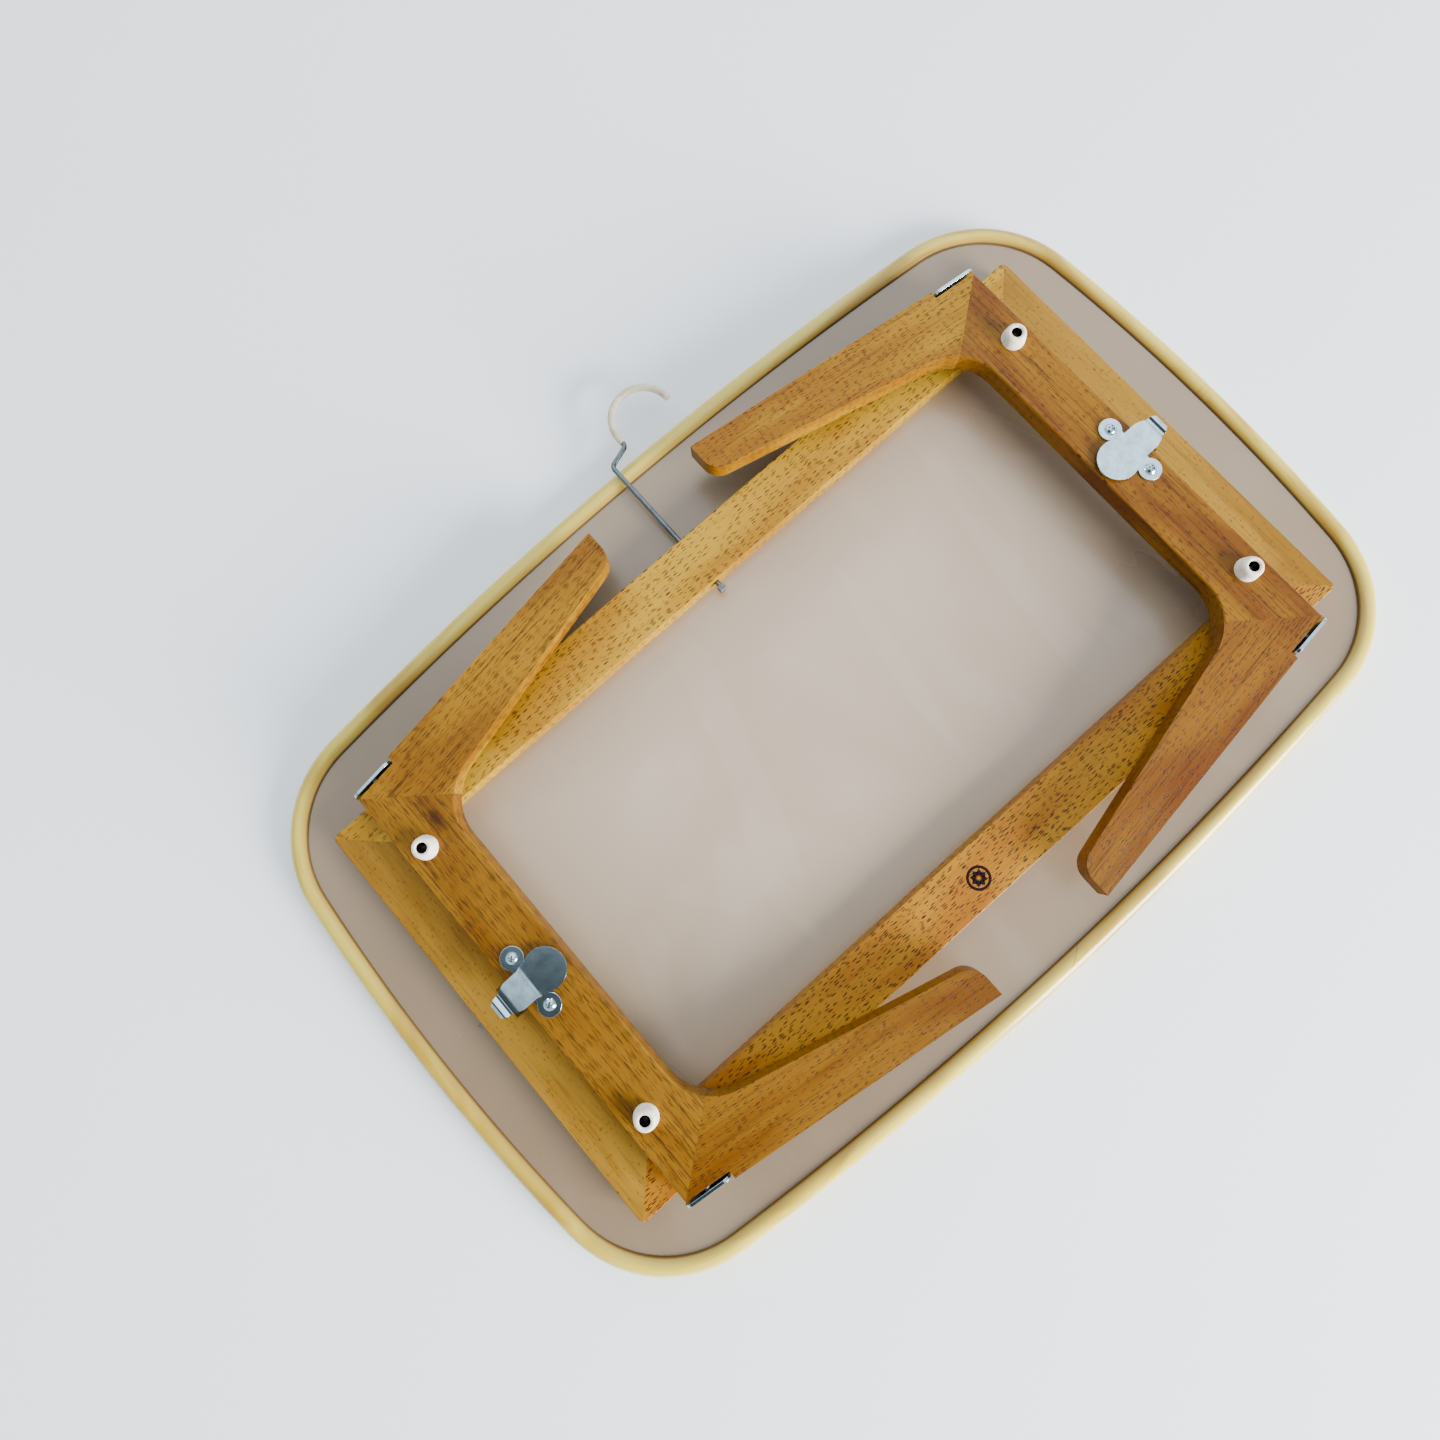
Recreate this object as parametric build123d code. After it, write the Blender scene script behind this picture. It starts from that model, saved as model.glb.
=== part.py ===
"""Bed tray on two folding leg frames, with a wire carrying hook.

The tray lies face down: its serving surface is the plane z = 0 and faces -Z, the frame, legs and
fittings are above it. X runs along the tray, Y across it. All sizes are in millimetres. The right
back quarter is built first and mirrored, because the tray is the same on both sides of X and Y.
"""
import os
from build123d import *

# Panel and rim: each side bows a little, so it is an arc of a large circle.
PANEL_T = 5.0
HALF_LENGTH, HALF_WIDTH = 281.0, 176.0
END_BOW_R, SIDE_BOW_R = 1157.0, 2250.0
CORNER_R = 60.0
RIM_D = 13.5
RIM_Z = 1.0
GROOVE = 2.5
FACE_INSET, EDGE_STEP = 0.1, 0.4

# Mitred frame under the panel.
RAIL_W, RAIL_T = 30.0, 12.5
FRAME_X, FRAME_Y = 250.0, 129.5
FRAME_CORNER_R = 3.0
FRAME_TOP = PANEL_T + RAIL_T
RAIL_MID_Z = PANEL_T + RAIL_T / 2

# Leg frames: a crossbar and two splayed legs, folded flat above the rails.
LEG_T = 12.0
LEG_GAP = 5.5
LEG_Z0 = FRAME_TOP + LEG_GAP
LEG_Z1 = LEG_Z0 + LEG_T
BAR_OUT, BAR_IN = 220.0, 188.0
PIVOT_X, PIVOT_Z = 208.8, LEG_Z0 + LEG_T / 2
BAR_CORNER_Y = 130.5
SEAT_SLOPE = 0.114
SEAT_END_X = 194.3
LEG_SPLAY = 0.1399
LEG_OUT_Y = 137.8
LEG_TAPER = 0.2526
LEG_IN_Y = 102.4
LEG_END_X = 36.5
MITRE_IN = (178.7, 98.4)
ELBOW_R, TOE_R = 30.0, 11.0
ARRIS_R = BAR_OUT - PIVOT_X

# Pivot brackets: a foot on the rail's side, a shelf and an ear beside the leg frame.
STEEL_T = 1.7
EAR_GAP = 1.6
EAR_X0, EAR_X1 = 195.8, 221.8
EAR_TOP = LEG_Z1 + 0.5
EAR_CORNER_R = 4.0
SHELF_TOP = FRAME_TOP - 0.3
FOOT_Z0 = PANEL_T + 1.0
BRACKET_SCREW_DX = 8.0
BRACKET_SCREW_Z = 11.0
BRACKET_SCREW_R, BRACKET_HEAD_R, BRACKET_HEAD_H = 1.3, 2.4, 1.1
BRACKET_SCREW_L = 14.0
RIVET_R, RIVET_BORE_R, RIVET_DEPTH = 2.0, 2.06, 14.0
RIVET_HEAD_R, RIVET_HEAD_H = 4.2, 2.0

# Rubber feet on the crossbars.
FOOT_X, FOOT_Y = 208.5, 87.5
FOOT_R, FOOT_TOP_R, FOOT_H, FOOT_EDGE_R = 6.6, 5.5, 7.0, 1.6
FOOT_HOLE_R, FOOT_FLOOR = 2.6, 2.5
FOOT_SCREW_R, FOOT_HEAD_R, FOOT_HEAD_H, FOOT_SCREW_L = 1.6, 2.5, 1.6, 8.0

# Turning latches in the middle of the crossbars.
LATCH_X = 200.5
LATCH_R = 11.3
LATCH_BASE_T, LATCH_BASE_R = 1.0, 9.0
LATCH_EAR_X, LATCH_EAR_Y, LATCH_EAR_R = 210.3, 15.0, 6.3
LATCH_WAIST = 8.0
LEVER_T, LEVER_GAP = 1.2, 0.2
LEVER_HALF_W, LEVER_NECK_HALF_W, LEVER_TIP_HALF_W = 8.6, 6.0, 4.2
LEVER_SHOULDER_X, LEVER_NECK_X, LEVER_TIP_X = 221.0, 226.4, 232.4
LEVER_BEND_X, LEVER_CREASE_X, LEVER_RIDGE_X = 211.4, 227.0, 229.6
LEVER_RISE, LEVER_CREASE_RISE, LEVER_RIDGE_RISE, LEVER_TIP_RISE = 1.0, 0.3, 1.6, 0.5
STUD_R, STUD_BORE_R, LEVER_ROOF = 2.5, 2.6, 0.3
LATCH_SCREW_R, LATCH_HEAD_R, LATCH_HEAD_H, LATCH_SCREW_L = 1.4, 3.3, 1.9, 9.0

# Notch in the short rail that lets the latch swing down, and the pin behind it.
NOTCH_HALF_W, NOTCH_X = 9.2, 233.5
RAIL_PIN_R, RAIL_PIN_OUT = 1.3, 254.0

# Wire carrying hook through the back long rail.
WIRE_R, WIRE_BORE_R = 1.5, 1.6
HOOK_X, HOOK_Y0, HOOK_BEND_Y = 1.2, 94.5, 190.5
HOOK_STOP = (4.6, 3.8, 3.6)
HOOK_NECK_X, HOOK_NECK_Y = 15.4, 195.0
HOOK_BOW_R, HOOK_BOW_Y = 18.7, 219.9
HOOK_JOG_R = 3.5
SLEEVE_R, SLEEVE_START_Y, SLEEVE_OVERHANG = 2.1, 197.6, 3.0

RIGHT_LEFT = {"right": 1, "left": -1}
BACK_FRONT = {"back": 1, "front": -1}


def placed(solid, side=1, end=1):
    """A copy of a right back piece on the wanted side and end."""
    if side < 0:
        solid = mirror(solid, about=Plane.YZ)
    if end < 0:
        solid = mirror(solid, about=Plane.XZ)
    return solid


def block(x0, x1, y0, y1, z0, z1):
    return Pos((x0 + x1) / 2, (y0 + y1) / 2, (z0 + z1) / 2) * Box(x1 - x0, y1 - y0, z1 - z0)


def prism(points, z0, z1):
    return Pos(0, 0, z0) * extrude(Polygon(*points, align=None), amount=z1 - z0, dir=(0, 0, 1))


def rod_z(radius, x, y, z0, z1):
    return Pos(x, y, (z0 + z1) / 2) * Cylinder(radius, z1 - z0)


def rod_y(radius, x, z, y0, y1):
    return Pos(x, (y0 + y1) / 2, z) * Rot(90, 0, 0) * Cylinder(radius, y1 - y0)


def rod_x(radius, y, z, x0, x1):
    return Pos((x0 + x1) / 2, y, z) * Rot(0, 90, 0) * Cylinder(radius, x1 - x0)


def dome(radius, height):
    """A screw or rivet head that stands on z = 0."""
    ball_r = (radius ** 2 + height ** 2) / (2 * height)
    cap = Pos(0, 0, height - ball_r) * Sphere(ball_r)
    return cap & block(-radius, radius, -radius, radius, 0, height)


def outline(grow):
    """The panel's plan, its edge moved outwards by grow."""
    ends = [Pos(s * (HALF_LENGTH - END_BOW_R), 0) * Circle(END_BOW_R + grow) for s in (1, -1)]
    sides = [Pos(0, s * (HALF_WIDTH - SIDE_BOW_R)) * Circle(SIDE_BOW_R + grow) for s in (1, -1)]
    plan = ends[0] & ends[1] & sides[0] & sides[1]
    return fillet(plan.vertices(), CORNER_R + grow)


def tray_panel():
    """The panel: its serving face ends just inside the rim, and its edge is let into the rim."""
    face = extrude(outline(-FACE_INSET), amount=EDGE_STEP, dir=(0, 0, 1))
    return face + Pos(0, 0, EDGE_STEP) * extrude(outline(GROOVE), amount=PANEL_T - EDGE_STEP, dir=(0, 0, 1))


def rim_pole(panel):
    """A round pole bent once round the tray, grooved for the panel's edge."""
    centre_line = outline(RIM_D / 2).face().outer_wire().moved(Location((0, 0, RIM_Z)))
    section = Plane(centre_line @ 0, z_dir=centre_line % 0) * Circle(RIM_D / 2)
    return sweep(section, path=centre_line) - panel


def frame_plate():
    corners = RectangleRounded(2 * FRAME_X, 2 * FRAME_Y, FRAME_CORNER_R)
    return Pos(0, 0, PANEL_T) * extrude(corners, amount=RAIL_T)


def long_rail():
    inner = FRAME_X - RAIL_W
    plan = [(-FRAME_X, FRAME_Y), (FRAME_X, FRAME_Y), (inner, FRAME_Y - RAIL_W), (-inner, FRAME_Y - RAIL_W)]
    return prism(plan, PANEL_T, FRAME_TOP) & frame_plate()


def short_rail():
    inner = FRAME_Y - RAIL_W
    plan = [(FRAME_X, -FRAME_Y), (FRAME_X, FRAME_Y), (FRAME_X - RAIL_W, inner), (FRAME_X - RAIL_W, -inner)]
    notch = block(BAR_OUT - 1, NOTCH_X, -NOTCH_HALF_W, NOTCH_HALF_W, PANEL_T, FRAME_TOP)
    pin = rod_x(RAIL_PIN_R, 0, RAIL_MID_Z, NOTCH_X, RAIL_PIN_OUT)
    return (prism(plan, PANEL_T, FRAME_TOP) & frame_plate()) - notch - pin


def rail_pin():
    return rod_x(RAIL_PIN_R, 0, RAIL_MID_Z, NOTCH_X, RAIL_PIN_OUT)


def seat_y(x):
    """Where the leg frame's end faces the bracket's ear."""
    return BAR_CORNER_Y + SEAT_SLOPE * (BAR_OUT - x)


def leg_out_y(x):
    return LEG_OUT_Y + LEG_SPLAY * (SEAT_END_X - x)


def leg_in_y(x):
    return LEG_IN_Y + LEG_TAPER * (BAR_IN - x)


def half_leg_frame():
    """The right frame's back half: half the crossbar and the back leg, still in one."""
    plan = Polygon((BAR_OUT, 0), (BAR_OUT, BAR_CORNER_Y), (SEAT_END_X, seat_y(SEAT_END_X)),
                   (SEAT_END_X, leg_out_y(SEAT_END_X)), (LEG_END_X, leg_out_y(LEG_END_X)),
                   (LEG_END_X, leg_in_y(LEG_END_X)), (BAR_IN, LEG_IN_Y), (BAR_IN, 0), align=None)
    elbow = plan.vertices().sort_by_distance((BAR_IN, LEG_IN_Y, 0))[0]
    plan = fillet(elbow, ELBOW_R)
    toe = plan.vertices().sort_by_distance((LEG_END_X, leg_in_y(LEG_END_X), 0))[0]
    plan = fillet(toe, TOE_R)
    half = Pos(0, 0, LEG_Z0) * extrude(plan, amount=LEG_T, dir=(0, 0, 1))
    arris = block(PIVOT_X, BAR_OUT + 5, -5, 2 * BAR_CORNER_Y, LEG_Z0 - 1, PIVOT_Z)
    arris -= rod_y(ARRIS_R, PIVOT_X, PIVOT_Z, -10, 2 * BAR_CORNER_Y + 5)
    return half - arris


def rivet_bore():
    return rod_y(RIVET_BORE_R, PIVOT_X, PIVOT_Z, seat_y(PIVOT_X) - RIVET_DEPTH, FRAME_Y + 10)


def leg_side():
    """The plan area on the leg's side of the mitre."""
    far = 60.0
    run, drop = BAR_OUT - MITRE_IN[0], BAR_CORNER_Y - MITRE_IN[1]
    start = (BAR_OUT + run, BAR_CORNER_Y + drop)
    end = (MITRE_IN[0] - run, MITRE_IN[1] - drop)
    return prism([start, end, (0, 0), (0, FRAME_Y + far), (start[0], FRAME_Y + far)], LEG_Z0, LEG_Z1)


def leg():
    return (half_leg_frame() & leg_side()) - rivet_bore()


def crossbar():
    half = half_leg_frame() - leg_side() - rivet_bore()
    half -= rod_z(FOOT_SCREW_R, FOOT_X, FOOT_Y, LEG_Z1 - FOOT_SCREW_L, LEG_Z1)
    half -= rod_z(LATCH_SCREW_R, LATCH_EAR_X, LATCH_EAR_Y, LEG_Z1 - LATCH_SCREW_L, LEG_Z1)
    return half + placed(half, end=-1)


def ear_line(offset):
    return [(EAR_X0, seat_y(EAR_X0) + offset), (EAR_X1, seat_y(EAR_X1) + offset)]


def pivot_bracket():
    shelf_z0 = SHELF_TOP - STEEL_T
    foot = block(EAR_X0, EAR_X1, FRAME_Y, FRAME_Y + STEEL_T, FOOT_Z0, SHELF_TOP)
    inner, outer = ear_line(EAR_GAP), ear_line(EAR_GAP + STEEL_T)
    shelf = prism([(EAR_X0, FRAME_Y), *outer, (EAR_X1, FRAME_Y)], shelf_z0, SHELF_TOP)
    ear = prism([*inner, *reversed(outer)], shelf_z0, EAR_TOP)
    side = Pos((EAR_X0 + EAR_X1) / 2, FRAME_Y, (shelf_z0 + EAR_TOP) / 2 - EAR_CORNER_R)
    profile = RectangleRounded(EAR_X1 - EAR_X0, EAR_TOP - shelf_z0 + 2 * EAR_CORNER_R, EAR_CORNER_R)
    ear &= side * Rot(90, 0, 0) * extrude(profile, amount=20, both=True)
    bracket = foot + shelf + ear - rod_y(RIVET_R, PIVOT_X, PIVOT_Z, FRAME_Y, FRAME_Y + 10)
    for x in (PIVOT_X - BRACKET_SCREW_DX, PIVOT_X + BRACKET_SCREW_DX):
        bracket -= rod_y(BRACKET_SCREW_R, x, BRACKET_SCREW_Z, FRAME_Y - 1, FRAME_Y + STEEL_T + 1)
    return bracket


def bracket_screw(x):
    shank = rod_y(BRACKET_SCREW_R, x, BRACKET_SCREW_Z, FRAME_Y - BRACKET_SCREW_L, FRAME_Y + STEEL_T)
    head = Rot(-90, 0, 0) * dome(BRACKET_HEAD_R, BRACKET_HEAD_H)
    return shank + Pos(x, FRAME_Y + STEEL_T, BRACKET_SCREW_Z) * head


def pivot_rivet():
    tip_y = seat_y(PIVOT_X) - RIVET_DEPTH + 0.5
    ear_y = seat_y(PIVOT_X) + EAR_GAP + STEEL_T
    shank = rod_y(RIVET_R, PIVOT_X, PIVOT_Z, tip_y, ear_y + RIVET_HEAD_H / 2)
    head = Pos(PIVOT_X, ear_y - 0.5, PIVOT_Z) * Rot(-90, 0, 0) * dome(RIVET_HEAD_R, RIVET_HEAD_H + 0.5)
    outer = ear_line(EAR_GAP + STEEL_T)
    head -= prism([(EAR_X0, FRAME_Y), *outer, (EAR_X1, FRAME_Y)], LEG_Z0 - 5, LEG_Z1 + 5)
    return shank + head


def rubber_foot():
    foot = Cone(FOOT_R, FOOT_TOP_R, FOOT_H)
    foot = fillet(foot.edges().filter_by(GeomType.CIRCLE).sort_by(Axis.Z)[-1], FOOT_EDGE_R)
    foot = Pos(FOOT_X, FOOT_Y, LEG_Z1 + FOOT_H / 2) * foot
    foot -= rod_z(FOOT_HOLE_R, FOOT_X, FOOT_Y, LEG_Z1 + FOOT_FLOOR, LEG_Z1 + FOOT_H)
    return foot - rod_z(FOOT_SCREW_R, FOOT_X, FOOT_Y, LEG_Z1, LEG_Z1 + FOOT_FLOOR)


def foot_screw():
    shank = rod_z(FOOT_SCREW_R, FOOT_X, FOOT_Y, LEG_Z1 - FOOT_SCREW_L, LEG_Z1 + FOOT_FLOOR)
    return shank + Pos(FOOT_X, FOOT_Y, LEG_Z1 + FOOT_FLOOR) * dome(FOOT_HEAD_R, FOOT_HEAD_H)


def latch_base():
    """A plate with two screwed ears and the stud that the lever turns on."""
    top = LEG_Z1 + LATCH_BASE_T
    plate = rod_z(LATCH_BASE_R, LATCH_X, 0, LEG_Z1, top)
    waist = (LATCH_EAR_X - LATCH_WAIST / 2, LATCH_EAR_X + LATCH_WAIST / 2)
    plate += block(*waist, -LATCH_EAR_Y, LATCH_EAR_Y, LEG_Z1, top)
    for y in (-LATCH_EAR_Y, LATCH_EAR_Y):
        plate += rod_z(LATCH_EAR_R, LATCH_EAR_X, y, LEG_Z1, top)
    for y in (-LATCH_EAR_Y, LATCH_EAR_Y):
        plate -= rod_z(LATCH_SCREW_R, LATCH_EAR_X, y, LEG_Z1, top)
    stud_top = top + LEVER_GAP + LEVER_T - LEVER_ROOF - 0.1
    return plate + rod_z(STUD_R, LATCH_X, 0, top, stud_top)


def latch_lever():
    """A round turning plate with an arm that rises a little and ends in a curled tip."""
    z0 = LEG_Z1 + LATCH_BASE_T + LEVER_GAP
    plan = [(LATCH_X, LEVER_HALF_W), (LEVER_SHOULDER_X, LEVER_HALF_W), (LEVER_NECK_X, LEVER_NECK_HALF_W),
            (LEVER_TIP_X, LEVER_TIP_HALF_W)]
    plan += [(x, -y) for x, y in reversed(plan)]
    arm = prism(plan, z0, z0 + 6) + rod_z(LATCH_R, LATCH_X, 0, z0, z0 + 6)
    bottom = [(LATCH_X - LATCH_R, 0), (LEVER_BEND_X, 0), (LEVER_NECK_X - 1.5, LEVER_RISE),
              (LEVER_CREASE_X, LEVER_CREASE_RISE), (LEVER_RIDGE_X, LEVER_RIDGE_RISE),
              (LEVER_TIP_X, LEVER_TIP_RISE)]
    outline_xz = [(x, z0 + rise) for x, rise in bottom]
    outline_xz += [(x, z0 + rise + LEVER_T) for x, rise in reversed(bottom)]
    profile = Rot(90, 0, 0) * extrude(Polygon(*outline_xz, align=None), amount=2 * LATCH_R, both=True)
    lever = arm & profile
    return lever - rod_z(STUD_BORE_R, LATCH_X, 0, z0, z0 + LEVER_T - LEVER_ROOF)


def latch_screw():
    top = LEG_Z1 + LATCH_BASE_T
    shank = rod_z(LATCH_SCREW_R, LATCH_EAR_X, LATCH_EAR_Y, LEG_Z1 - LATCH_SCREW_L, top)
    return shank + Pos(LATCH_EAR_X, LATCH_EAR_Y, top) * dome(LATCH_HEAD_R, LATCH_HEAD_H)


def hook_tube(points, radii, radius):
    path = Pos(0, 0, RAIL_MID_Z) * FilletPolyline(*points, radius=radii)
    section = Plane(path @ 0, z_dir=path % 0) * Circle(radius)
    return sweep(section, path=path)


def bow(end_y):
    """The hook's half round bow, from the top of its neck to end_y."""
    far_x = HOOK_NECK_X + 2 * HOOK_BOW_R
    return [(HOOK_NECK_X, HOOK_BOW_Y), (far_x, HOOK_BOW_Y), (far_x, end_y)]


def hook_sleeve():
    points = [(HOOK_NECK_X, SLEEVE_START_Y), *bow(HOOK_BOW_Y - HOOK_BOW_R - 0.3)]
    tube = hook_tube(points, [HOOK_BOW_R - 0.05] * 2, SLEEVE_R)
    return tube - hook_wire()


def hook_wire():
    """The wire ends inside the sleeve, part way round the bow."""
    start_y = HOOK_Y0 + HOOK_STOP[1] / 2
    neck = [(HOOK_X, start_y), (HOOK_X, HOOK_BEND_Y), (HOOK_NECK_X, HOOK_NECK_Y)]
    wire = hook_tube([*neck, *bow(HOOK_BOW_Y - HOOK_BOW_R - 0.3)],
                     [HOOK_JOG_R] * 2 + [HOOK_BOW_R - 0.05] * 2, WIRE_R)
    end_y = HOOK_BOW_Y - HOOK_BOW_R + SLEEVE_OVERHANG
    far_x = HOOK_NECK_X + 2 * HOOK_BOW_R
    return wire - block(far_x - 5, far_x + 5, end_y - 10, end_y, RAIL_MID_Z - 5, RAIL_MID_Z + 5)


def hook_stop():
    width, depth, height = HOOK_STOP
    return Pos(HOOK_X, HOOK_Y0, RAIL_MID_Z) * Box(width, depth, height)


def all_parts():
    panel = tray_panel()
    wire_bore = rod_y(WIRE_BORE_R, HOOK_X, RAIL_MID_Z, FRAME_Y - RAIL_W - 1, FRAME_Y + 1)
    plain_rail = long_rail()
    for side in RIGHT_LEFT.values():
        for shift in (-BRACKET_SCREW_DX, BRACKET_SCREW_DX):
            hole_x = side * (PIVOT_X + shift)
            plain_rail -= rod_y(BRACKET_SCREW_R, hole_x, BRACKET_SCREW_Z, FRAME_Y - BRACKET_SCREW_L, FRAME_Y)
    parts = {"tray_panel": panel, "rim_pole": rim_pole(panel),
             "long_rail_front": placed(plain_rail, end=-1), "long_rail_back": plain_rail - wire_bore,
             "hook_stop": hook_stop(), "hook_wire": hook_wire(), "hook_sleeve": hook_sleeve()}
    for side_name, side in RIGHT_LEFT.items():
        ends = {"short_rail": short_rail(), "rail_pin": rail_pin(), "crossbar": crossbar(),
                "latch_base": latch_base(), "latch_lever": latch_lever()}
        for name, solid in ends.items():
            parts[f"{name}_{side_name}"] = placed(solid, side)
        for end_name, end in BACK_FRONT.items():
            corners = {"leg": leg(), "pivot_bracket": pivot_bracket(), "pivot_rivet": pivot_rivet(),
                       "bracket_screw_in": bracket_screw(PIVOT_X - BRACKET_SCREW_DX),
                       "bracket_screw_out": bracket_screw(PIVOT_X + BRACKET_SCREW_DX),
                       "rubber_foot": rubber_foot(), "foot_screw": foot_screw(),
                       "latch_screw": latch_screw()}
            for name, solid in corners.items():
                parts[f"{name}_{side_name}_{end_name}"] = placed(solid, side, end)
    return parts


os.makedirs("parts", exist_ok=True)
for part_name, part_solid in all_parts().items():
    export_step(part_solid, f"parts/{part_name}.step")
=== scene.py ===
import math

import bmesh
import bpy
from mathutils import Matrix, Vector


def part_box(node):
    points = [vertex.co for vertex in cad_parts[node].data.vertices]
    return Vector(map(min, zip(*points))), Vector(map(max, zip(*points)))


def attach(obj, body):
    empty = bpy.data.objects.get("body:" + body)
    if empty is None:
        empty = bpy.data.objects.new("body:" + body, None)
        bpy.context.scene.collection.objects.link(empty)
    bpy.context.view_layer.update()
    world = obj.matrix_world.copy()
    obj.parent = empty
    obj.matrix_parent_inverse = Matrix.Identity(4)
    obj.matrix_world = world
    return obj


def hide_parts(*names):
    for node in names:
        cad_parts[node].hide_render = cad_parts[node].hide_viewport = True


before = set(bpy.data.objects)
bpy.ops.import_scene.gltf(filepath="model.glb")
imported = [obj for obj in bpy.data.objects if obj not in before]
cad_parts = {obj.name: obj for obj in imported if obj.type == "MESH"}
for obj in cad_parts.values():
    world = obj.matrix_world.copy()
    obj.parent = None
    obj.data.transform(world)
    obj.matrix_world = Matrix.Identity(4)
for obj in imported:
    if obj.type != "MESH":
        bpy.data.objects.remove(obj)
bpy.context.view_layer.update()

MM = 0.001
SIDES = {"right": 1, "left": -1}
ENDS = {"back": 1, "front": -1}


def srgb(red, green, blue):
    """A linear colour from 8-bit sRGB values."""
    return tuple((c / 255) ** 2.2 for c in (red, green, blue)) + (1.0,)


# ---------------------------------------------------------------- material tools

class Shader:
    """A short way to write a node material: every call adds one node and returns its output."""

    def __init__(self, name, roughness=0.5, metallic=0.0):
        self.material = bpy.data.materials.new(name)
        self.material.use_nodes = True
        self.tree = self.material.node_tree
        self.bsdf = self.tree.nodes["Principled BSDF"]
        self.set("Roughness", roughness)
        self.set("Metallic", metallic)

    def set(self, socket, value):
        if isinstance(value, bpy.types.NodeSocket):
            self.tree.links.new(value, self.bsdf.inputs[socket])
        else:
            self.bsdf.inputs[socket].default_value = value

    def node(self, kind, inputs=(), **settings):
        made = self.tree.nodes.new(kind)
        for key, value in settings.items():
            setattr(made, key, value)
        for key, value in dict(inputs).items():
            if isinstance(value, bpy.types.NodeSocket):
                self.tree.links.new(value, made.inputs[key])
            else:
                made.inputs[key].default_value = value
        return made

    def place(self):
        return self.node("ShaderNodeTexCoord").outputs["Object"]

    def grain(self):
        return self.node("ShaderNodeAttribute", attribute_name="grain").outputs["Vector"]

    def scaled(self, vector, scale, shift=(0, 0, 0)):
        inputs = {"Vector": vector, "Scale": scale, "Location": shift}
        return self.node("ShaderNodeMapping", inputs).outputs["Vector"]

    def noise(self, vector, scale=1.0, detail=2.0, rough=0.5, distortion=0.0):
        inputs = {"Vector": vector, "Scale": scale, "Detail": detail, "Roughness": rough,
                  "Distortion": distortion}
        return self.node("ShaderNodeTexNoise", inputs).outputs["Fac"]

    def math(self, operation, first, second=0.0, clamp=False):
        return self.node("ShaderNodeMath", {0: first, 1: second}, operation=operation,
                         use_clamp=clamp).outputs[0]

    def band(self, value, low, high, out_low=0.0, out_high=1.0):
        """Value from low..high, smoothly spread over out_low..out_high."""
        inputs = {"Value": value, "From Min": low, "From Max": high, "To Min": out_low, "To Max": out_high}
        return self.node("ShaderNodeMapRange", inputs, interpolation_type="SMOOTHSTEP").outputs["Result"]

    def mix(self, share, first, second, mode="MIX"):
        made = self.node("ShaderNodeMix", data_type="RGBA", blend_type=mode)
        for index, value in ((0, share), (6, first), (7, second)):
            if isinstance(value, bpy.types.NodeSocket):
                self.tree.links.new(value, made.inputs[index])
            else:
                made.inputs[index].default_value = value
        return made.outputs[2]

    def part(self, vector, axis):
        return self.node("ShaderNodeSeparateXYZ", {0: vector}).outputs[axis]

    def bump(self, height, strength, distance):
        inputs = {"Height": height, "Strength": strength, "Distance": distance}
        self.set("Normal", self.node("ShaderNodeBump", inputs).outputs["Normal"])


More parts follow.
